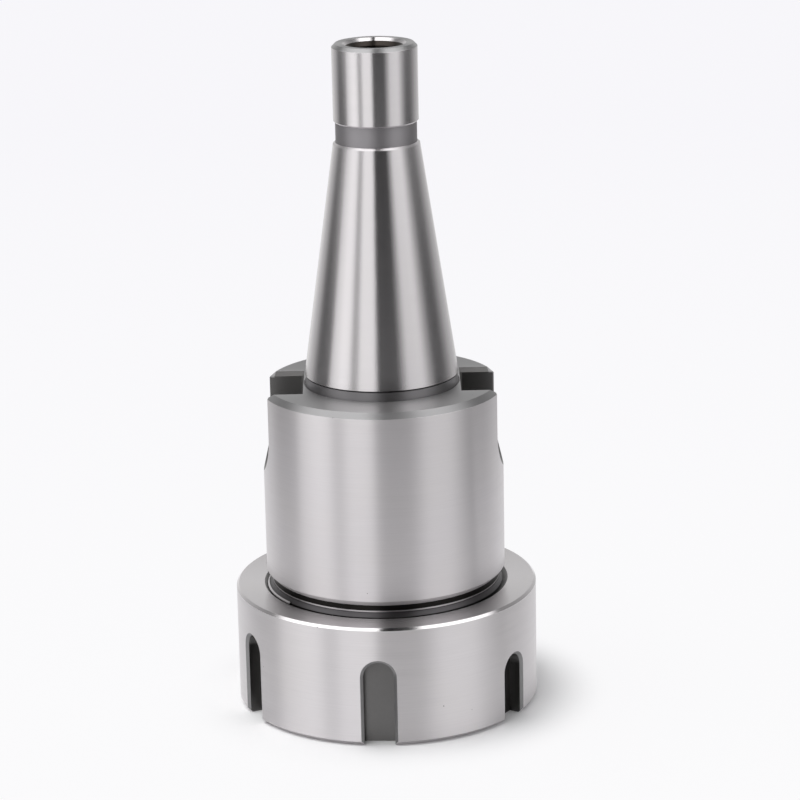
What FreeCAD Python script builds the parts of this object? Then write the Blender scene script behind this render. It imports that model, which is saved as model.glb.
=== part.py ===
import FreeCAD, Part
import math
import os
from FreeCAD import Vector

# Collet chuck holder: a 7:24 taper shank with a threaded tail and two drive slots, a nose
# socket for a slit spring collet, and the slotted nut that clamps it.
# The chuck stands on its nut. Origin: centre of the nut's lower face. +Z runs up the axis to the
# tail, +X towards one of the two drive slots. Sizes are millimetres.

# ---- clamping nut ---------------------------------------------------------------------------
NUT_HEIGHT = 25.5
NUT_WALL = 7.0                    # thread to the outside
NUT_FRONT_CHAMFER = 1.0           # lower outer edge
NUT_BACK_CHAMFER = 0.5            # upper outer edge
NUT_MOUTH_STEP = 1.1              # radial, thread out to the countersunk upper opening
NUT_UNDERCUT_DEPTH = 1.0          # groove past the thread at the inside floor
NUT_UNDERCUT_WIDTH = 2.2

SPANNER_SLOTS = 6
SPANNER_SLOT_WIDTH = 6.3
SPANNER_SLOT_DEPTH = 3.2
SPANNER_SLOT_LENGTH = 18.0        # from the lower face to the round end
SHORT_SLOT_LENGTH = 14.0          # one slot stops lower than the others
SHORT_SLOT_INDEX = 1              # counted anticlockwise, from above, from the slot nearest to -Y
SPANNER_SLOT_BREAK = 0.65         # chamfer along both edges of a slot
SPANNER_SLOT_ANGLE = -3.75        # of the slot nearest to -Y, about the axis

LIP_THICKNESS = 1.3               # eccentric lip that pulls the collet out
LIP_OFFSET = 0.9                  # how far the lip's bore is off the axis

# ---- screw thread of nut and holder, drawn as plain cylinders at the pitch diameter --------
THREAD_CLEARANCE = 0.08           # radial
THREAD_START_CHAMFER = 1.2

# ---- spring collet --------------------------------------------------------------------------
COLLET_LENGTH = 46.0
COLLET_MAX_DIA = 41.0
COLLET_BACK_ANGLE = 8.0           # per side
SEAT_ANGLE = 30.0                 # per side, front cone and nut seat
COLLET_RIM_STEP = 3.1             # radial, largest diameter in to the front rim
COLLET_RIM_WIDTH = 2.2
COLLET_GROOVE_STEP = 4.8          # radial, largest diameter in to the groove
COLLET_GROOVE_WIDTH = 2.4
COLLET_CONE_STEP = 3.3            # radial, rise of the front cone
COLLET_LAND = 0.3                 # band at the largest diameter
COLLET_EDGE = 0.4                 # chamfers of the front face
COLLET_BORE_DIA = 20.0
COLLET_RECESS = 0.5               # front face above the nut's lower face
COLLET_SLITS = 8                  # from each end
COLLET_SLIT_WIDTH = 1.1
COLLET_SLIT_BRIDGE = 6.5          # metal left at a slit's closed end
COLLET_FIRST_SLIT = 11.25         # angle of the first front slit

# ---- fits -----------------------------------------------------------------------------------
SEAT_CLEARANCE = 0.10             # radial, at both cones of the collet
RIM_CLEARANCE = 0.6               # radial, nut counterbore round the collet's rim
LIP_GAP = 0.3                     # rim to lip, and lip to the groove's floor
FLOOR_MARGIN = 0.1                # axial, collet's largest diameter to the nut's inside floor
NOSE_GAP = 0.8                    # axial, nut's inside floor to the holder's end face

# ---- holder: nose and body ------------------------------------------------------------------
SHOULDER_GAP = 2.2                # nut's upper face to the body's lower face, nut screwed home
NOSE_WALL = 4.0                   # collet's largest diameter out to the thread
BODY_STEP = 0.5                   # radial, thread out to the body
BODY_LENGTH = 40.9                # lower face to the flange face
BODY_LOWER_CHAMFER = 1.2
FLANGE_CHAMFER = 1.15
NOSE_RELIEF_STEP = 0.7            # radial, thread in to the neck under the body
NOSE_RELIEF_WIDTH = 1.6
SOCKET_EXTRA_DEPTH = 1.0          # socket runs on past the collet's end
SOCKET_MOUTH_CHAMFER = 0.5
TOOL_BORE_DIA = 20.5              # clearance for a long tool shank
TOOL_BORE_LENGTH = 18.0
DRILL_ANGLE = 59.0                # per side, drilled ends of the bores

# ---- holder: drive slots --------------------------------------------------------------------
DRIVE_SLOT_WIDTH = 16.1
DRIVE_SLOT_LAND = 0.325           # radial, taper's large end out to the flat inner wall
DRIVE_SLOT_LENGTH = 18.0          # flange face to the round end
DRIVE_SLOT_CORNER = 0.6           # bevel that the cutter leaves round the flat inner wall
DRIVE_SLOT_BREAK = 0.5            # chamfer where the slot meets the body's side
DRIVE_SLOT_TOP_BREAK = 0.9        # chamfer where its side walls meet the flange face

# ---- holder: taper shank --------------------------------------------------------------------
GAUGE_DIA = 31.75                 # large end of the taper
TAPER_RATIO = 7.0 / 24.0          # on diameter
TAPER_LENGTH = 48.4
NECK_LENGTH = 2.1                 # flange face to the large end
NECK_STEP = 0.15                  # radial, large end in to the neck
UNDERCUT_WIDTH = 0.35             # thin groove under the large end
UNDERCUT_DEPTH = 0.5
FACE_GROOVE_WIDTH = 0.3           # grinding relief in the flange face, round the neck
FACE_GROOVE_DEPTH = 0.4
FACE_GROOVE_EDGE = 0.12
TAPER_END_CHAMFER = 0.4
TAIL_DIA = 17.4
TAIL_LENGTH = 16.0
TAIL_GROOVE_DIA = 16.6
TAIL_GROOVE_LENGTH = 4.0
TAIL_LOWER_CHAMFER = 0.4
TAIL_CHAMFER = 0.7
TAIL_MOUTH_DIA = 13.1             # 45 degree countersink of the drawbar thread
DRAWBAR_MINOR_DIA = 10.2          # drawbar thread, drawn at its minor diameter
DRAWBAR_LENGTH = 30.0             # tail's end face to the end of the tapping drill's wall
THROUGH_BORE_DIA = 8.5            # from the drawbar thread to the tool bore

# ---- diameters that follow ------------------------------------------------------------------
COLLET_RIM_DIA = COLLET_MAX_DIA - 2 * COLLET_RIM_STEP
COLLET_GROOVE_DIA = COLLET_MAX_DIA - 2 * COLLET_GROOVE_STEP
COLLET_CONE_START_DIA = COLLET_MAX_DIA - 2 * COLLET_CONE_STEP
THREAD_PLAIN_DIA = COLLET_MAX_DIA + 2 * NOSE_WALL
NUT_DIA = THREAD_PLAIN_DIA + 2 * NUT_WALL
BODY_DIA = THREAD_PLAIN_DIA + 2 * BODY_STEP
DRIVE_SLOT_FLOOR = GAUGE_DIA / 2 + DRIVE_SLOT_LAND

# ---- levels along the axis ------------------------------------------------------------------
SEAT_SLOPE = math.tan(math.radians(SEAT_ANGLE))
BACK_SLOPE = math.tan(math.radians(COLLET_BACK_ANGLE))
COLLET_FRONT_Z = COLLET_RECESS
COLLET_RIM_Z = COLLET_FRONT_Z + COLLET_RIM_WIDTH
COLLET_CONE_Z = COLLET_RIM_Z + COLLET_GROOVE_WIDTH
COLLET_BACK_Z = COLLET_FRONT_Z + COLLET_LENGTH
COLLET_LAND_Z = COLLET_CONE_Z + COLLET_CONE_STEP / SEAT_SLOPE
COLLET_TAPER_Z = COLLET_LAND_Z + COLLET_LAND
NUT_FLOOR_Z = COLLET_TAPER_Z + FLOOR_MARGIN
NOSE_Z = NUT_FLOOR_Z + NOSE_GAP
BODY_Z = NUT_HEIGHT + SHOULDER_GAP
FLANGE_Z = BODY_Z + BODY_LENGTH
GAUGE_Z = FLANGE_Z + NECK_LENGTH
TAPER_END_Z = GAUGE_Z + TAPER_LENGTH
TAIL_Z = TAPER_END_Z + TAIL_GROOVE_LENGTH
TOP_Z = TAIL_Z + TAIL_LENGTH

PAST = 1.0                        # how far a cutting tool runs past a face


def revolve(points):
    """Solid of revolution about Z from a closed outline of (radius, height) points."""
    outline = [Vector(r, 0, z) for r, z in points]
    face = Part.Face(Part.makePolygon(outline + outline[:1]))
    return face.revolve(Vector(0, 0, 0), Vector(0, 0, 1), 360)


def collet_radius(z):
    """Radius of the collet's long back cone at height z."""
    return COLLET_MAX_DIA / 2 - (z - COLLET_TAPER_Z) * BACK_SLOPE


def seat_radius(z):
    """Radius of the nut's seat cone at height z, with its clearance to the collet."""
    return COLLET_CONE_START_DIA / 2 + (z - COLLET_CONE_Z) * SEAT_SLOPE + SEAT_CLEARANCE


def round_ended_slot(width, depth_from, depth_to, closed_z, open_z):
    """Slot cutter along X: straight to open_z, with a half-round end that reaches closed_z."""
    centre_z = closed_z + width / 2 if open_z > closed_z else closed_z - width / 2
    low, high = sorted((centre_z, open_z))
    reach = depth_to - depth_from
    block = Part.makeBox(reach, width, high - low, Vector(depth_from, -width / 2, low))
    end = Part.makeCylinder(width / 2, reach, Vector(depth_from, 0, centre_z), Vector(1, 0, 0))
    return block.fuse(end).removeSplitter()


def break_slot_edges(solid, bevel, radius, low_z, high_z):
    """Chamfers the slot edges that lie on a cylinder of this radius, between two heights."""
    edges = []
    for edge in solid.Edges:
        box = edge.BoundBox
        points = edge.discretize(9)
        on_cylinder = all(abs(math.hypot(p.x, p.y) - radius) < 1e-4 for p in points)
        if on_cylinder and box.ZLength > 1e-4 and low_z - 1e-4 < box.ZMin and box.ZMax < high_z + 1e-4:
            edges.append(edge)
    return solid.makeChamfer(bevel, edges)


def corner_cutter(radius, z, bevel, way):
    """Ring that takes a 45 degree chamfer off a round edge; way is +1 at an upper edge."""
    return revolve([
        (radius - bevel - PAST, z + way * PAST),
        (radius + PAST, z - way * (bevel + PAST)),
        (radius + PAST, z + way * PAST),
    ])


def make_nut():
    """Round nut: seat cone, eccentric pull-out lip, thread bore and six spanner slots."""
    outer = NUT_DIA / 2
    bore = THREAD_PLAIN_DIA / 2 + THREAD_CLEARANCE
    mouth = THREAD_PLAIN_DIA / 2 + NUT_MOUTH_STEP
    counterbore = COLLET_RIM_DIA / 2 + RIM_CLEARANCE
    lip_z = COLLET_RIM_Z + LIP_GAP
    undercut = bore + NUT_UNDERCUT_DEPTH
    undercut_z = NUT_FLOOR_Z + NUT_UNDERCUT_WIDTH
    profile = [
        (counterbore, 0),
        (outer, 0),
        (outer, NUT_HEIGHT - NUT_BACK_CHAMFER),
        (outer - NUT_BACK_CHAMFER, NUT_HEIGHT),
        (mouth, NUT_HEIGHT),
        (bore, NUT_HEIGHT - (mouth - bore)),
        (bore, undercut_z + NUT_UNDERCUT_DEPTH),
        (undercut, undercut_z),
        (undercut, NUT_FLOOR_Z),
        (seat_radius(NUT_FLOOR_Z), NUT_FLOOR_Z),
        (seat_radius(lip_z), lip_z),
        (counterbore, lip_z),
    ]
    nut = revolve(profile)

    lip_bore = COLLET_GROOVE_DIA / 2 + LIP_GAP + LIP_OFFSET
    lip_cut_top = lip_z + LIP_THICKNESS + 2 * LIP_OFFSET / SEAT_SLOPE
    cutter = Part.makeCylinder(lip_bore, lip_cut_top - lip_z + PAST, Vector(LIP_OFFSET, 0, lip_z - PAST))
    nut = nut.cut(cutter)

    floor = outer - SPANNER_SLOT_DEPTH
    for index in range(SPANNER_SLOTS):
        length = SHORT_SLOT_LENGTH if index == SHORT_SLOT_INDEX else SPANNER_SLOT_LENGTH
        slot = round_ended_slot(SPANNER_SLOT_WIDTH, floor, outer + PAST, length, -PAST)
        angle = -90 + SPANNER_SLOT_ANGLE + index * 360 / SPANNER_SLOTS
        slot.rotate(Vector(0, 0, 0), Vector(0, 0, 1), angle)
        nut = nut.cut(slot)
    nut = break_slot_edges(nut, SPANNER_SLOT_BREAK, outer, 0, SPANNER_SLOT_LENGTH)
    return nut.cut(corner_cutter(outer, 0, NUT_FRONT_CHAMFER, -1))


def make_collet():
    """Spring collet: one turned sleeve with slits sawn from both ends by turns."""
    rim = COLLET_RIM_DIA / 2
    groove = COLLET_GROOVE_DIA / 2
    grip = COLLET_BORE_DIA / 2
    profile = [
        (grip + COLLET_EDGE, COLLET_FRONT_Z),
        (rim - COLLET_EDGE, COLLET_FRONT_Z),
        (rim, COLLET_FRONT_Z + COLLET_EDGE),
        (rim, COLLET_RIM_Z),
        (groove, COLLET_RIM_Z),
        (groove, COLLET_CONE_Z),
        (COLLET_CONE_START_DIA / 2, COLLET_CONE_Z),
        (COLLET_MAX_DIA / 2, COLLET_LAND_Z),
        (COLLET_MAX_DIA / 2, COLLET_TAPER_Z),
        (collet_radius(COLLET_BACK_Z), COLLET_BACK_Z),
        (grip, COLLET_BACK_Z),
        (grip, COLLET_FRONT_Z + COLLET_EDGE),
    ]
    collet = revolve(profile)
    reach = COLLET_MAX_DIA / 2 + PAST
    slit_length = COLLET_LENGTH - COLLET_SLIT_BRIDGE + PAST
    front_z = COLLET_FRONT_Z - PAST
    back_z = COLLET_BACK_Z + PAST - slit_length
    step = 360 / COLLET_SLITS
    for index in range(2 * COLLET_SLITS):
        from_back = index % 2
        base = Vector(0, -COLLET_SLIT_WIDTH / 2, back_z if from_back else front_z)
        slit = Part.makeBox(reach, COLLET_SLIT_WIDTH, slit_length, base)
        slit.rotate(Vector(0, 0, 0), Vector(0, 0, 1), COLLET_FIRST_SLIT + index * step / 2)
        collet = collet.cut(slit)
    return collet


def holder_outline():
    """Outside of the holder from the nose up to the tail, as (radius, height) points."""
    thread = THREAD_PLAIN_DIA / 2
    relief = thread - NOSE_RELIEF_STEP
    body = BODY_DIA / 2
    gauge = GAUGE_DIA / 2
    neck = gauge - NECK_STEP
    groove_wall = neck + FACE_GROOVE_WIDTH
    groove_floor_z = FLANGE_Z - FACE_GROOVE_DEPTH
    taper_end = gauge - TAPER_LENGTH * TAPER_RATIO / 2
    end_chamfer_r = taper_end + TAPER_END_CHAMFER * TAPER_RATIO / 2
    groove = TAIL_GROOVE_DIA / 2
    tail = TAIL_DIA / 2
    relief_z = BODY_Z - NOSE_RELIEF_WIDTH
    return [
        (thread - THREAD_START_CHAMFER, NOSE_Z),
        (thread, NOSE_Z + THREAD_START_CHAMFER),
        (thread, relief_z - (thread - relief)),
        (relief, relief_z),
        (relief, BODY_Z),
        (body - BODY_LOWER_CHAMFER, BODY_Z),
        (body, BODY_Z + BODY_LOWER_CHAMFER),
        (body, FLANGE_Z),
        (groove_wall + FACE_GROOVE_EDGE, FLANGE_Z),
        (groove_wall, FLANGE_Z - FACE_GROOVE_EDGE),
        (groove_wall, groove_floor_z),
        (neck, groove_floor_z),
        (neck, GAUGE_Z - UNDERCUT_WIDTH),
        (neck - UNDERCUT_DEPTH, GAUGE_Z - UNDERCUT_WIDTH),
        (neck - UNDERCUT_DEPTH, GAUGE_Z),
        (gauge, GAUGE_Z),
        (end_chamfer_r, TAPER_END_Z - TAPER_END_CHAMFER),
        (taper_end - TAPER_END_CHAMFER, TAPER_END_Z),
        (groove, TAPER_END_Z),
        (groove, TAIL_Z),
        (tail - TAIL_LOWER_CHAMFER, TAIL_Z),
        (tail, TAIL_Z + TAIL_LOWER_CHAMFER),
        (tail, TOP_Z - TAIL_CHAMFER),
        (tail - TAIL_CHAMFER, TOP_Z),
    ]


def holder_bore():
    """Inside of the holder from the tail down to the nose, as (radius, height) points."""
    drawbar = DRAWBAR_MINOR_DIA / 2
    mouth = TAIL_MOUTH_DIA / 2
    tool = TOOL_BORE_DIA / 2
    through = THROUGH_BORE_DIA / 2
    drill_slope = math.tan(math.radians(DRILL_ANGLE))
    socket_end_z = COLLET_BACK_Z + SOCKET_EXTRA_DEPTH
    socket_end = collet_radius(socket_end_z) + SEAT_CLEARANCE
    socket_mouth_z = NOSE_Z + SOCKET_MOUTH_CHAMFER
    socket_mouth = collet_radius(socket_mouth_z) + SEAT_CLEARANCE
    tool_end_z = socket_end_z + TOOL_BORE_LENGTH
    drawbar_end_z = TOP_Z - DRAWBAR_LENGTH
    return [
        (mouth, TOP_Z),
        (drawbar, TOP_Z - (mouth - drawbar)),
        (drawbar, drawbar_end_z),
        (through, drawbar_end_z - (drawbar - through) / drill_slope),
        (through, tool_end_z + (tool - through) / drill_slope),
        (tool, tool_end_z),
        (tool, socket_end_z),
        (socket_end, socket_end_z),
        (socket_mouth, socket_mouth_z),
        (socket_mouth + SOCKET_MOUTH_CHAMFER, NOSE_Z),
    ]


def make_holder():
    """Holder turned and ground from one bar, with two drive slots milled in its sides."""
    holder = revolve(holder_outline() + holder_bore())
    body = BODY_DIA / 2
    closed_z = FLANGE_Z - DRIVE_SLOT_LENGTH
    open_z = FLANGE_Z + PAST
    slot = round_ended_slot(DRIVE_SLOT_WIDTH, DRIVE_SLOT_FLOOR, body + PAST, closed_z, open_z)
    floor_edges = [edge for edge in slot.Edges
                   if edge.BoundBox.XMax < DRIVE_SLOT_FLOOR + PAST / 2 and edge.BoundBox.ZMin < FLANGE_Z]
    slot = slot.makeChamfer(DRIVE_SLOT_CORNER, floor_edges)
    half = DRIVE_SLOT_WIDTH / 2
    low_z = FLANGE_Z - DRIVE_SLOT_TOP_BREAK
    wide = half + DRIVE_SLOT_TOP_BREAK + PAST
    corners = [(-half, low_z), (half, low_z), (wide, FLANGE_Z + PAST), (-wide, FLANGE_Z + PAST)]
    section = [Vector(DRIVE_SLOT_FLOOR, y, z) for y, z in corners]
    top_break = Part.Face(Part.makePolygon(section + section[:1])).extrude(Vector(body, 0, 0))
    half_turn = FreeCAD.Rotation(Vector(0, 0, 1), 180)
    for cutter in (slot, top_break):
        opposite = cutter.copy()
        opposite.Placement = FreeCAD.Placement(Vector(0, 0, 0), half_turn)
        holder = holder.cut([cutter, opposite])
        if cutter is slot:
            holder = break_slot_edges(holder, DRIVE_SLOT_BREAK, body, closed_z, FLANGE_Z)
    return holder.cut(corner_cutter(body, FLANGE_Z, FLANGE_CHAMFER, 1))


os.makedirs("parts", exist_ok=True)
for name, shape in (
    ("clamping_nut", make_nut()),
    ("spring_collet", make_collet()),
    ("holder_body", make_holder()),
):
    box = shape.BoundBox
    print(name, "solids", len(shape.Solids), "valid", shape.isValid(), "volume", round(shape.Volume, 1),
          "z", round(box.ZMin, 3), round(box.ZMax, 3), "x", round(box.XMin, 3), round(box.XMax, 3))
    shape.exportStep("parts/" + name + ".step")
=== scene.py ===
import math
import bmesh
import bpy
from mathutils import Matrix, Vector


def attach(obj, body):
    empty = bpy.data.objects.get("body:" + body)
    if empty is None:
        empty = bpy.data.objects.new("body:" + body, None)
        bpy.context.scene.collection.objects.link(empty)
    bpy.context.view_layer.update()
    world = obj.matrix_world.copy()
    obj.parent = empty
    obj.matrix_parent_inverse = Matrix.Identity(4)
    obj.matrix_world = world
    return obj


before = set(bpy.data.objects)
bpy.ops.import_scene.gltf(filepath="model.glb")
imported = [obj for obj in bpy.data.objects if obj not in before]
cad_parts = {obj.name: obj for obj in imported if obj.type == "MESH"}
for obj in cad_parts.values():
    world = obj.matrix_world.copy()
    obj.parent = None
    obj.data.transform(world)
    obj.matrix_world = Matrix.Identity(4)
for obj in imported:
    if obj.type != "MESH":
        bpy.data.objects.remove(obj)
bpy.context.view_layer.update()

# ---- Clamping nut ---------------------------------------------------------------------------
# A round steel nut, turned all over. Its side is fine turned, its upper face and corners are
# polished, and six spanner slots are milled in from the lower face. It screws on the nose.
NUT_SIDE_RADIUS = 0.0315
NUT_UPPER_FACE = 0.0255
NUT_UPPER_CHAMFER = 0.0005
NUT_LOWER_CHAMFER = 0.0010
NUT_SLOT_FLOOR = 0.0283
NUT_SLOT_WALL = 0.0308
NUT_SLOT_TOP = 0.0190
TURNED_STEEL = (0.735, 0.71, 0.73)
WARM_STEEL = (0.735, 0.71, 0.712)
# Dark grey, painted shade: the spanner slots, the drive slots and the nut's bore are coloured much darker than the
# turned steel; the milled finish itself is the rougher roughness.
STEEL_IN_PAINTED_SHADE = (0.20, 0.196, 0.194)
# Grey, painted shade on the chamfers along the spanner slots' edges.
SLOT_EDGE_PAINTED_SHADE = (0.30, 0.297, 0.30)
SPECK = (0.16, 0.155, 0.15)


def reckon(tree, operation, *values, clamp=False):
    """One step of arithmetic in a finish."""
    node = tree.nodes.new("ShaderNodeMath")
    node.operation = operation
    node.use_clamp = clamp
    for socket, value in zip(node.inputs, values):
        if isinstance(value, bpy.types.NodeSocket):
            tree.links.new(value, socket)
        else:
            socket.default_value = value
    return node.outputs[0]


def all_of(tree, *masks):
    """Where every one of these places overlaps."""
    product = masks[0]
    for mask in masks[1:]:
        product = reckon(tree, "MULTIPLY", product, mask)
    return product


def between(tree, value, low, high):
    """1 where a distance lies between two limits, and 0 elsewhere."""
    above = reckon(tree, "GREATER_THAN", value, low)
    return all_of(tree, above, reckon(tree, "LESS_THAN", value, high))


def blend_value(tree, mask, plain, masked):
    """A value that changes from plain to masked where mask goes from 0 to 1."""
    node = tree.nodes.new("ShaderNodeMix")
    node.data_type = "FLOAT"
    for socket, value in zip((node.inputs[0], node.inputs[2], node.inputs[3]), (mask, plain, masked)):
        if isinstance(value, bpy.types.NodeSocket):
            tree.links.new(value, socket)
        else:
            socket.default_value = value
    return node.outputs[0]


def blend_colour(tree, mask, plain, masked):
    """A colour that changes from plain to masked where mask goes from 0 to 1."""
    node = tree.nodes.new("ShaderNodeMix")
    node.data_type = "RGBA"
    for socket, value in zip((node.inputs[0], node.inputs[6], node.inputs[7]), (mask, plain, masked)):
        if isinstance(value, bpy.types.NodeSocket):
            tree.links.new(value, socket)
        elif isinstance(value, tuple):
            socket.default_value = (*value, 1)
        else:
            socket.default_value = value
    return node.outputs[2]


def start_steel(name, brushing):
    """A steel with its brushing along the circles about the axis. Gives its tree, its shader
    and the places that finishes are set out by: x, y, z and the radius."""
    steel = bpy.data.materials.new(name)
    steel.use_nodes = True
    tree = steel.node_tree
    shader = tree.nodes["Principled BSDF"]
    shader.inputs["Metallic"].default_value = 1.0
    shader.inputs["Anisotropic"].default_value = brushing
    place = tree.nodes.new("ShaderNodeTexCoord").outputs["Object"]
    split = tree.nodes.new("ShaderNodeSeparateXYZ")
    tree.links.new(place, split.inputs[0])
    x, y, z = split.outputs
    radius = reckon(tree, "SQRT", reckon(tree, "ADD", reckon(tree, "MULTIPLY", x, x), reckon(tree, "MULTIPLY", y, y)))
    around = tree.nodes.new("ShaderNodeVectorMath")
    around.operation = "CROSS_PRODUCT"
    around.inputs[0].default_value = (0, 0, 1)
    tree.links.new(place, around.inputs[1])
    unit = tree.nodes.new("ShaderNodeVectorMath")
    unit.operation = "NORMALIZE"
    tree.links.new(around.outputs[0], unit.inputs[0])
    tree.links.new(unit.outputs[0], shader.inputs["Tangent"])
    shader.inputs["Anisotropic Rotation"].default_value = 0.25
    return steel, tree, shader, place, (x, y, z, radius)


def turning_marks(tree, spots, spacing, breaks):
    """Fine rings left by the tool, this far apart, that break up over the length breaks."""
    x, y, z, radius = spots
    feed = reckon(tree, "SUBTRACT", z, reckon(tree, "MULTIPLY", radius, 1.3))
    vector = tree.nodes.new("ShaderNodeCombineXYZ")
    tree.links.new(reckon(tree, "DIVIDE", x, breaks), vector.inputs[0])
    tree.links.new(reckon(tree, "DIVIDE", y, breaks), vector.inputs[1])
    tree.links.new(reckon(tree, "DIVIDE", feed, spacing), vector.inputs[2])
    noise = tree.nodes.new("ShaderNodeTexNoise")
    noise.inputs["Scale"].default_value = 1.0
    noise.inputs["Detail"].default_value = 3.0
    tree.links.new(vector.outputs[0], noise.inputs["Vector"])
    return noise.outputs[0]


def grain(tree, place, size, detail=3.0):
    """Even fine grain, about this size."""
    noise = tree.nodes.new("ShaderNodeTexNoise")
    noise.inputs["Scale"].default_value = 1 / size
    noise.inputs["Detail"].default_value = detail
    tree.links.new(place, noise.inputs["Vector"])
    return noise.outputs[0]


def specks(tree, place, apart, size):
    """Scattered marks of this size, about this far apart: 1 in a mark and 0 elsewhere."""
    cells = tree.nodes.new("ShaderNodeTexVoronoi")
    cells.inputs["Scale"].default_value = 1 / apart
    tree.links.new(place, cells.inputs["Vector"])
    return reckon(tree, "LESS_THAN", cells.outputs["Distance"], size / apart)


def raise_surface(tree, shader, height, depth):
    """Lets the marks catch the light as relief of this depth."""
    bump = tree.nodes.new("ShaderNodeBump")
    bump.inputs["Strength"].default_value = 1.0
    bump.inputs["Distance"].default_value = depth
    tree.links.new(height, bump.inputs["Height"])
    tree.links.new(bump.outputs[0], shader.inputs["Normal"])


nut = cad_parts["clamping_nut"]
nut_steel, tree, shader, place, spots = start_steel("nut_turned_steel", 1.0)
x, y, z, radius = spots
marks = turning_marks(tree, spots, 0.00016, 0.012)
fine = grain(tree, place, 0.0004)
cloud = grain(tree, place, 0.014, 1.0)
below_side = reckon(tree, "MINIMUM", reckon(tree, "ADD", z, NUT_SIDE_RADIUS - NUT_LOWER_CHAMFER - 0.00005), NUT_SIDE_RADIUS - 0.00006)
milled = all_of(
    tree,
    reckon(tree, "LESS_THAN", radius, below_side),
    between(tree, z, 0.00003, NUT_SLOT_TOP),
    reckon(tree, "GREATER_THAN", radius, NUT_SLOT_FLOOR - 0.00004),
)
corner = all_of(tree, milled, reckon(tree, "GREATER_THAN", radius, NUT_SLOT_WALL))
face = reckon(tree, "GREATER_THAN", z, NUT_UPPER_FACE - 0.00002)
edge = all_of(tree, between(tree, z, NUT_UPPER_FACE - NUT_UPPER_CHAMFER - 0.00001, NUT_UPPER_FACE - 0.00002),
              reckon(tree, "GREATER_THAN", radius, NUT_SIDE_RADIUS - NUT_UPPER_CHAMFER - 0.0001))
foot = all_of(tree, between(tree, z, 0.00002, NUT_LOWER_CHAMFER - 0.00001), reckon(tree, "GREATER_THAN", radius, 0.0300))
inside = all_of(tree, reckon(tree, "LESS_THAN", radius, 0.0256), between(tree, z, 0.0001, NUT_UPPER_FACE - 0.00002))
flecks = all_of(tree, specks(tree, place, 0.0045, 0.00012), reckon(tree, "GREATER_THAN", radius, 0.026))
roughness = blend_value(tree, marks, 0.30, 0.40)
roughness = blend_value(tree, face, roughness, 0.26)
roughness = blend_value(tree, edge, roughness, 0.12)
roughness = blend_value(tree, foot, roughness, 0.14)
roughness = blend_value(tree, milled, roughness, blend_value(tree, fine, 0.38, 0.52))
roughness = blend_value(tree, inside, roughness, 0.4)
tree.links.new(roughness, shader.inputs["Roughness"])
colour = blend_colour(tree, cloud, TURNED_STEEL, WARM_STEEL)
colour = blend_colour(tree, reckon(tree, "MULTIPLY", marks, 0.10), colour, SPECK)
# Painted shade in the spanner slots, with a random lighter tone through them.
colour = blend_colour(tree, milled, colour, blend_colour(tree, cloud, STEEL_IN_PAINTED_SHADE, tuple(c * 1.25 for c in STEEL_IN_PAINTED_SHADE)))
# Painted shade on the spanner slots' edge chamfers.
colour = blend_colour(tree, corner, colour, SLOT_EDGE_PAINTED_SHADE)
# Painted shade inside the nut's bore.
colour = blend_colour(tree, inside, colour, STEEL_IN_PAINTED_SHADE)
colour = blend_colour(tree, flecks, colour, SPECK)
tree.links.new(colour, shader.inputs["Base Color"])
raise_surface(tree, shader, reckon(tree, "ADD", marks, reckon(tree, "MULTIPLY", fine, 0.5)), 0.000004)
nut.material_slots[0].material = nut_steel

# ---- Spring collet --------------------------------------------------------------------------
# One sleeve of spring steel, hardened and ground, then slit from both ends so that it can close.
# The nut's lip holds it by the groove behind its front rim.
COLLET_STEEL = (0.56, 0.555, 0.56)
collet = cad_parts["spring_collet"]
collet_steel, tree, shader, place, spots = start_steel("collet_ground_steel", 0.6)
marks = turning_marks(tree, spots, 0.0002, 0.01)
roughness = blend_value(tree, marks, 0.24, 0.34)
tree.links.new(roughness, shader.inputs["Roughness"])
tree.links.new(blend_colour(tree, marks, COLLET_STEEL, tuple(c * 0.9 for c in COLLET_STEEL)), shader.inputs["Base Color"])
raise_surface(tree, shader, marks, 0.000004)
collet.material_slots[0].material = collet_steel

# ---- Holder ---------------------------------------------------------------------------------
# One bar of steel, turned and hardened. The taper, the tail and the body are ground, the groove
# and neck between them are left as turned, and the two drive slots are milled.
BODY_BOTTOM = 0.0277
FLANGE_FACE = 0.0686
NECK_FOOT = 0.0160
TAPER_START = 0.0707
TAPER_END = 0.1191
TAIL_START = 0.1231
TAIL_TOP = 0.1391
TAIL_RADIUS = 0.0087
MOUTH_FOOT = 0.13848
BODY_RADIUS = 0.025
CHAMFER = 0.00115
GROUND_STEEL = (0.68, 0.656, 0.676)
STAINED_STEEL = (0.68, 0.655, 0.658)
AS_TURNED_STEEL = (0.42, 0.405, 0.42)
NECK_STEEL = (0.27, 0.262, 0.27)
# The faced finish itself is set by roughness; this darker grey is painted shade on the flange face, its shoulder
# chamfer and the tail's end face.
FACED_STEEL_PAINTED_SHADE = (0.42, 0.415, 0.42)
# Near black, painted shade: the deep bore inside the tail.
BORE_PAINTED_SHADE = (0.05, 0.042, 0.038)
# Near black, painted shade: it stands in for the shade in the undercut at the taper's foot and in the gap between the
# body and the nut, where the relief and the thread's flanks are.
CREVICE_PAINTED_SHADE = (0.02, 0.019, 0.018)
# Dark grey, painted shade: the thread's runout inside the gap under the body.
RUNOUT_PAINTED_SHADE = (0.13, 0.125, 0.13)

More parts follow.
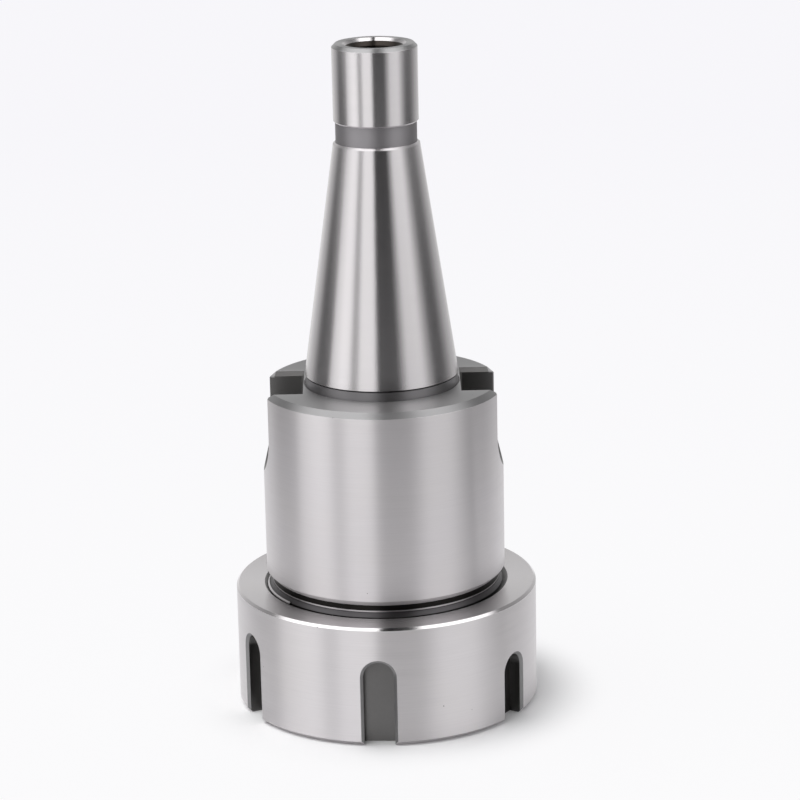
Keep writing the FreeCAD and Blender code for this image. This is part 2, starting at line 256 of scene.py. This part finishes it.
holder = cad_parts["holder_body"]
holder_steel, tree, shader, place, spots = start_steel("holder_ground_steel", 0.9)
x, y, z, radius = spots
marks = turning_marks(tree, spots, 0.00014, 0.010)
fine = grain(tree, place, 0.00024)
cloud = grain(tree, place, 0.012, 1.0)
shank = all_of(tree, reckon(tree, "GREATER_THAN", z, TAPER_START - 0.00002), reckon(tree, "GREATER_THAN", radius, 0.0067))
end = all_of(tree, reckon(tree, "GREATER_THAN", z, TAIL_TOP - 0.00068), between(tree, radius, 0.0065, TAIL_RADIUS - 0.00003))
mouth = all_of(tree, between(tree, z, MOUTH_FOOT, TAIL_TOP - 0.00003), reckon(tree, "LESS_THAN", radius, 0.0066))
groove = all_of(tree, between(tree, z, TAPER_END - 0.00002, TAIL_START + 0.00002), reckon(tree, "LESS_THAN", radius, 0.00835))
neck = all_of(tree, between(tree, z, FLANGE_FACE - 0.0006, TAPER_START - 0.00002), reckon(tree, "LESS_THAN", radius, 0.0160))
undercut = all_of(tree, between(tree, z, 0.07036, TAPER_START - 0.00002), reckon(tree, "LESS_THAN", radius, 0.0157))
rim = all_of(tree, between(tree, z, FLANGE_FACE - 0.0002, FLANGE_FACE - 0.00001), between(tree, radius, NECK_FOOT, 0.0163))
side_of_slot = reckon(tree, "ABSOLUTE", y)
slotted = all_of(
    tree,
    between(tree, z, 0.0500, FLANGE_FACE - 0.00003),
    reckon(tree, "LESS_THAN", side_of_slot, 0.0093),
    between(tree, radius, 0.01618, BODY_RADIUS - 0.00004),
)
face = all_of(tree, between(tree, z, FLANGE_FACE - 0.00003, FLANGE_FACE + 0.00003), reckon(tree, "GREATER_THAN", radius, NECK_FOOT))
shoulder = all_of(tree, between(tree, z, FLANGE_FACE - CHAMFER + 0.00002, FLANGE_FACE - 0.00003),
                  reckon(tree, "GREATER_THAN", radius, BODY_RADIUS - CHAMFER))
bored = all_of(tree, reckon(tree, "LESS_THAN", radius, 0.0067), between(tree, z, 0.03, MOUTH_FOOT))
under = all_of(tree, between(tree, z, BODY_BOTTOM, 0.02888), reckon(tree, "GREATER_THAN", radius, 0.0238))
relief = all_of(tree, between(tree, z, 0.0266, BODY_BOTTOM + 0.00003), reckon(tree, "LESS_THAN", radius, 0.0240))
runout = all_of(tree, between(tree, z, 0.0253, 0.0263), reckon(tree, "LESS_THAN", radius, 0.0246))
crest = all_of(tree, between(tree, z, 0.0263, 0.0266), reckon(tree, "LESS_THAN", radius, 0.0240))
flanks = all_of(tree, between(tree, z, 0.0120, 0.0253), between(tree, radius, 0.0236, 0.02488))
flecks = all_of(tree, specks(tree, place, 0.0045, 0.00010), reckon(tree, "GREATER_THAN", z, 0.03))
roughness = blend_value(tree, marks, 0.30, 0.40)
roughness = blend_value(tree, shank, roughness, blend_value(tree, marks, 0.18, 0.27))
roughness = blend_value(tree, face, roughness, 0.38)
roughness = blend_value(tree, shoulder, roughness, 0.45)
roughness = blend_value(tree, end, roughness, 0.36)
roughness = blend_value(tree, mouth, roughness, 0.14)
roughness = blend_value(tree, groove, roughness, 0.7)
roughness = blend_value(tree, neck, roughness, 0.5)
roughness = blend_value(tree, slotted, roughness, 0.42)
roughness = blend_value(tree, bored, roughness, 0.3)
roughness = blend_value(tree, under, roughness, 0.5)
roughness = blend_value(tree, runout, roughness, 0.45)
roughness = blend_value(tree, rim, roughness, 0.2)
tree.links.new(roughness, shader.inputs["Roughness"])
colour = blend_colour(tree, cloud, GROUND_STEEL, STAINED_STEEL)
colour = blend_colour(tree, reckon(tree, "MULTIPLY", marks, 0.10), colour, SPECK)
colour = blend_colour(tree, groove, colour, AS_TURNED_STEEL)
colour = blend_colour(tree, neck, colour, NECK_STEEL)
# Painted shade: the undercut at the taper's foot is coloured near black.
colour = blend_colour(tree, undercut, colour, CREVICE_PAINTED_SHADE)
# Painted shade in the milled drive slots.
colour = blend_colour(tree, slotted, colour, STEEL_IN_PAINTED_SHADE)
# Painted shade: the flange face, its shoulder chamfer and the tail's end face are coloured darker than the ground
# steel.
colour = blend_colour(tree, face, colour, FACED_STEEL_PAINTED_SHADE)
colour = blend_colour(tree, shoulder, colour, FACED_STEEL_PAINTED_SHADE)
colour = blend_colour(tree, end, colour, FACED_STEEL_PAINTED_SHADE)
# Painted shade: the bore below the mouth is coloured near black.
colour = blend_colour(tree, bored, colour, BORE_PAINTED_SHADE)
# Painted shade: the thread's flanks and the relief in the gap between the body and the nut are coloured near black.
colour = blend_colour(tree, flanks, colour, CREVICE_PAINTED_SHADE)
colour = blend_colour(tree, relief, colour, CREVICE_PAINTED_SHADE)
# Painted shade on the thread's runout in the gap under the body.
colour = blend_colour(tree, runout, colour, RUNOUT_PAINTED_SHADE)
colour = blend_colour(tree, flecks, colour, SPECK)
tree.links.new(colour, shader.inputs["Base Color"])
raise_surface(tree, shader, reckon(tree, "ADD", marks, reckon(tree, "MULTIPLY", fine, blend_value(tree, shank, 0.6, 3.0))), 0.000004)
holder.material_slots[0].material = holder_steel

# ---- Nose thread ----------------------------------------------------------------------------
# The fine thread that the nut turns on, cut in the holder's nose: one ridge of a 60 degree
# section wound right-handed at 1.5 mm of pitch, from the nose's end to the relief under the body.
THREAD_PITCH = 0.0015
THREAD_ROOT = 0.02446
THREAD_CREST = 0.02493
THREAD_ROOT_WIDTH = 0.00080
THREAD_CREST_WIDTH = 0.00026
THREAD_START = 0.0139
THREAD_TURNS = 7.6
STEPS_PER_TURN = 96

ridge = bmesh.new()
corners = [
    ridge.verts.new((THREAD_ROOT, 0, THREAD_START - THREAD_ROOT_WIDTH / 2)),
    ridge.verts.new((THREAD_CREST, 0, THREAD_START - THREAD_CREST_WIDTH / 2)),
    ridge.verts.new((THREAD_CREST, 0, THREAD_START + THREAD_CREST_WIDTH / 2)),
    ridge.verts.new((THREAD_ROOT, 0, THREAD_START + THREAD_ROOT_WIDTH / 2)),
]
section = ridge.faces.new(corners)
steps = round(THREAD_TURNS * STEPS_PER_TURN)
bmesh.ops.spin(
    ridge, geom=[section], cent=(0, 0, 0), axis=(0, 0, 1), dvec=(0, 0, THREAD_PITCH / STEPS_PER_TURN),
    angle=THREAD_TURNS * 2 * math.pi, steps=steps, use_merge=False, use_normal_flip=False, use_duplicate=False,
)
bmesh.ops.remove_doubles(ridge, verts=ridge.verts, dist=1e-7)
bmesh.ops.recalc_face_normals(ridge, faces=ridge.faces)
thread_mesh = bpy.data.meshes.new("nose_thread")
ridge.to_mesh(thread_mesh)
ridge.free()
nose_thread = bpy.data.objects.new("nose_thread", thread_mesh)
bpy.context.scene.collection.objects.link(nose_thread)
nose_thread.data.materials.append(holder_steel)
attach(nose_thread, "holder")

# ---- Studio ---------------------------------------------------------------------------------
# A plain white sheet to stand on, a soft lamp from the upper left, and a round tent of soft
# boxes and dark boards, in which the bright steel is reflected.
SHEET_NEAR = (0.965, 0.962, 0.972)
SHEET_FAR = (0.930, 0.922, 0.955)
BOARD = (0.06, 0.16)
BOARD_GREY = (0.55, 0.55, 0.56)

floor_mesh = bpy.data.meshes.new("floor")
sheet = bmesh.new()
bmesh.ops.create_grid(sheet, x_segments=1, y_segments=1, size=6.0)
sheet.to_mesh(floor_mesh)
sheet.free()
floor = bpy.data.objects.new("floor", floor_mesh)
bpy.context.scene.collection.objects.link(floor)
floor_white = bpy.data.materials.new("floor_white")
floor_white.use_nodes = True
tree = floor_white.node_tree
paper = tree.nodes["Principled BSDF"]
paper.inputs["Base Color"].default_value = (0.945, 0.945, 0.95, 1)
paper.inputs["Roughness"].default_value = 0.7
paper.inputs["Specular IOR Level"].default_value = 0.2
split = tree.nodes.new("ShaderNodeSeparateXYZ")
tree.links.new(tree.nodes.new("ShaderNodeTexCoord").outputs["Object"], split.inputs[0])
x, y, z = split.outputs
away = reckon(tree, "SQRT", reckon(tree, "ADD", reckon(tree, "MULTIPLY", x, x), reckon(tree, "MULTIPLY", y, y)))
ease = tree.nodes.new("ShaderNodeMapRange")
ease.interpolation_type = "SMOOTHSTEP"
for name, value in (("From Min", 0.032), ("From Max", 0.047), ("To Max", 0.93)):
    ease.inputs[name].default_value = value
tree.links.new(away, ease.inputs[0])
rays = tree.nodes.new("ShaderNodeLightPath")
seen = reckon(tree, "MAXIMUM", rays.outputs["Is Glossy Ray"], rays.outputs["Is Transmission Ray"])
seen = reckon(tree, "MAXIMUM", rays.outputs["Is Camera Ray"], seen)
backlit = tree.nodes.new("ShaderNodeEmission")
sheet_colour = blend_colour(tree, reckon(tree, "MULTIPLY", y, 1.6, clamp=True), SHEET_NEAR, SHEET_FAR)
board = tree.nodes.new("ShaderNodeMapRange")
board.interpolation_type = "SMOOTHSTEP"
board.inputs["From Min"].default_value, board.inputs["From Max"].default_value = BOARD
tree.links.new(x, board.inputs[0])
shaded = all_of(tree, board.outputs[0], rays.outputs["Is Glossy Ray"], reckon(tree, "LESS_THAN", y, 0))
tree.links.new(blend_colour(tree, shaded, sheet_colour, BOARD_GREY), backlit.inputs[0])
either = tree.nodes.new("ShaderNodeMixShader")
tree.links.new(reckon(tree, "MULTIPLY", seen, ease.outputs[0]), either.inputs[0])
tree.links.new(paper.outputs[0], either.inputs[1])
tree.links.new(backlit.outputs[0], either.inputs[2])
tree.links.new(either.outputs[0], tree.nodes["Material Output"].inputs["Surface"])
floor.data.materials.append(floor_white)

# Degrees round the stand from the front, to the right, with the brightness low down, high up
# and overhead.
TENT = [
    (-180, 0.95, 0.62, 0.6), (-150, 0.85, 0.66, 0.5), (-125, 0.50, 0.50, 0.3), (-115, 0.20, 0.36, 0.3),
    (-108, 0.08, 0.30, 1.9), (-98, 0.06, 0.40, 1.9), (-86, 0.06, 0.80, 1.9), (-79, 0.9, 0.9, 1.9), (-62, 1.3, 1.2, 1.9),
    (-50, 1.2, 1.1, 1.9), (-44, 0.48, 0.5, 1.9), (-38, 0.48, 0.5, 1.9), (-32, 1.12, 1.1, 1.9), (-12, 1.12, 1.1, 1.9),
    (-9, 1.1, 1.0, 0.03), (-6, 0.07, 0.04, 0.03), (24, 0.07, 0.04, 0.03), (35, 0.55, 0.60, 0.03), (40, 0.80, 0.9, 1.9),
    (62, 0.90, 1.0, 1.9), (78, 0.33, 0.5, 1.9), (88, 0.05, 0.3, 1.9), (102, 0.05, 0.3, 1.9), (110, 0.16, 0.3, 0.3),
    (130, 0.50, 0.45, 0.3), (152, 0.65, 0.62, 0.5), (180, 0.95, 0.62, 0.6),
]
TENT_RADIUS = 0.25
TENT_WALL = 0.40
TENT_CHANGES = ((0.08, 0.12), (0.21, 0.25))

wall = bmesh.new()
foot = wall.verts.new((0, TENT_RADIUS, 0.0))
eaves = wall.verts.new((0, TENT_RADIUS, TENT_WALL))
wall.edges.new((foot, eaves))
bmesh.ops.spin(
    wall, geom=[eaves], cent=(0, 0, TENT_WALL), axis=(1, 0, 0), angle=math.pi / 2, steps=24,
    use_merge=False, use_normal_flip=False, use_duplicate=False,
)
bmesh.ops.spin(
    wall, geom=wall.verts[:] + wall.edges[:], cent=(0, 0, 0), axis=(0, 0, 1), angle=2 * math.pi, steps=128,
    use_merge=True, use_normal_flip=False, use_duplicate=False,
)
bmesh.ops.remove_doubles(wall, verts=wall.verts, dist=1e-6)
wall_mesh = bpy.data.meshes.new("tent")
wall.to_mesh(wall_mesh)
wall.free()
tent = bpy.data.objects.new("tent", wall_mesh)
bpy.context.scene.collection.objects.link(tent)
tent_light = bpy.data.materials.new("tent_light")
tent_light.use_nodes = True
tree = tent_light.node_tree
tree.nodes.remove(tree.nodes["Principled BSDF"])
glow = tree.nodes.new("ShaderNodeEmission")
tree.links.new(glow.outputs[0], tree.nodes["Material Output"].inputs["Surface"])
split = tree.nodes.new("ShaderNodeSeparateXYZ")
tree.links.new(tree.nodes.new("ShaderNodeTexCoord").outputs["Object"], split.inputs[0])
turn = reckon(tree, "ARCTAN2", split.outputs[0], reckon(tree, "MULTIPLY", split.outputs[1], -1))
share = reckon(tree, "ADD", reckon(tree, "DIVIDE", turn, 2 * math.pi), 0.5)
levels = []
for column in (1, 2, 3):
    ramp = tree.nodes.new("ShaderNodeValToRGB")
    tree.links.new(share, ramp.inputs[0])
    stops = ramp.color_ramp.elements
    for row in TENT[1:-1]:
        stops.new((row[0] + 180) / 360).color = (row[column] / 2, row[column] / 2, row[column] / 2, 1)
    stops[0].color = (TENT[0][column] / 2,) * 3 + (1,)
    stops[len(stops) - 1].color = (TENT[-1][column] / 2,) * 3 + (1,)
    levels.append(ramp.outputs[0])
for (start, stop), level in zip(TENT_CHANGES, levels[1:]):
    rise = tree.nodes.new("ShaderNodeMapRange")
    rise.inputs["From Min"].default_value, rise.inputs["From Max"].default_value = start, stop
    tree.links.new(split.outputs[2], rise.inputs[0])
    levels[0] = blend_colour(tree, rise.outputs[0], levels[0], level)
tree.links.new(levels[0], glow.inputs[0])
glow.inputs[1].default_value = 2.0
tent.data.materials.append(tent_light)
for ray in ("camera", "diffuse", "shadow", "transmission", "volume_scatter"):
    setattr(tent, "visible_" + ray, False)

world = bpy.data.worlds.new("studio")
bpy.context.scene.world = world
world.use_nodes = True
tree = world.node_tree
backdrop = tree.nodes["Background"]
backdrop.inputs[0].default_value = (0.50, 0.50, 0.505, 1)
white = tree.nodes.new("ShaderNodeBackground")
white.inputs[0].default_value = (*SHEET_FAR, 1)
rays = tree.nodes.new("ShaderNodeLightPath")
seen = reckon(tree, "MAXIMUM", rays.outputs["Is Glossy Ray"], rays.outputs["Is Transmission Ray"])
seen = reckon(tree, "MAXIMUM", rays.outputs["Is Camera Ray"], seen)
either = tree.nodes.new("ShaderNodeMixShader")
tree.links.new(seen, either.inputs[0])
tree.links.new(backdrop.outputs[0], either.inputs[1])
tree.links.new(white.outputs[0], either.inputs[2])
tree.links.new(either.outputs[0], tree.nodes["World Output"].inputs["Surface"])

lamp_data = bpy.data.lights.new("soft_lamp", "SUN")
lamp_data.angle = math.radians(50)
lamp_data.energy = 1.75
lamp = bpy.data.objects.new("soft_lamp", lamp_data)
lamp.location = (-0.5, -0.1, 1.2)
lamp.rotation_euler = (Vector((0, 0, 0)) - lamp.location).to_track_quat("-Z", "Y").to_euler()
lamp.visible_glossy = False
bpy.context.scene.collection.objects.link(lamp)

# ---- Camera ---------------------------------------------------------------------------------
# A long lens in front of the drive slots' gap, a little above, looking down at the holder.
LENS = 140.0
CAMERA_PLACE = (0, -0.620, 0.24348)
LOOK_DOWN = 0.28136
LOOK_ASIDE = 0.00594
LEAN = -0.02093

camera_data = bpy.data.cameras.new("camera")
camera_data.lens = LENS
camera_data.sensor_width = 36.0
camera = bpy.data.objects.new("camera", camera_data)
bpy.context.scene.collection.objects.link(camera)
ahead = Vector((math.sin(LOOK_ASIDE) * math.cos(LOOK_DOWN), math.cos(LOOK_ASIDE) * math.cos(LOOK_DOWN), -math.sin(LOOK_DOWN)))
right = Vector((math.cos(LOOK_ASIDE), -math.sin(LOOK_ASIDE), 0))
up = right.cross(ahead)
leaned_right = math.cos(LEAN) * right + math.sin(LEAN) * up
leaned_up = -math.sin(LEAN) * right + math.cos(LEAN) * up
camera.matrix_world = Matrix.Translation(CAMERA_PLACE) @ Matrix((leaned_right, leaned_up, -ahead)).transposed().to_4x4()
bpy.context.scene.camera = camera

bpy.context.scene.view_settings.view_transform = "Standard"
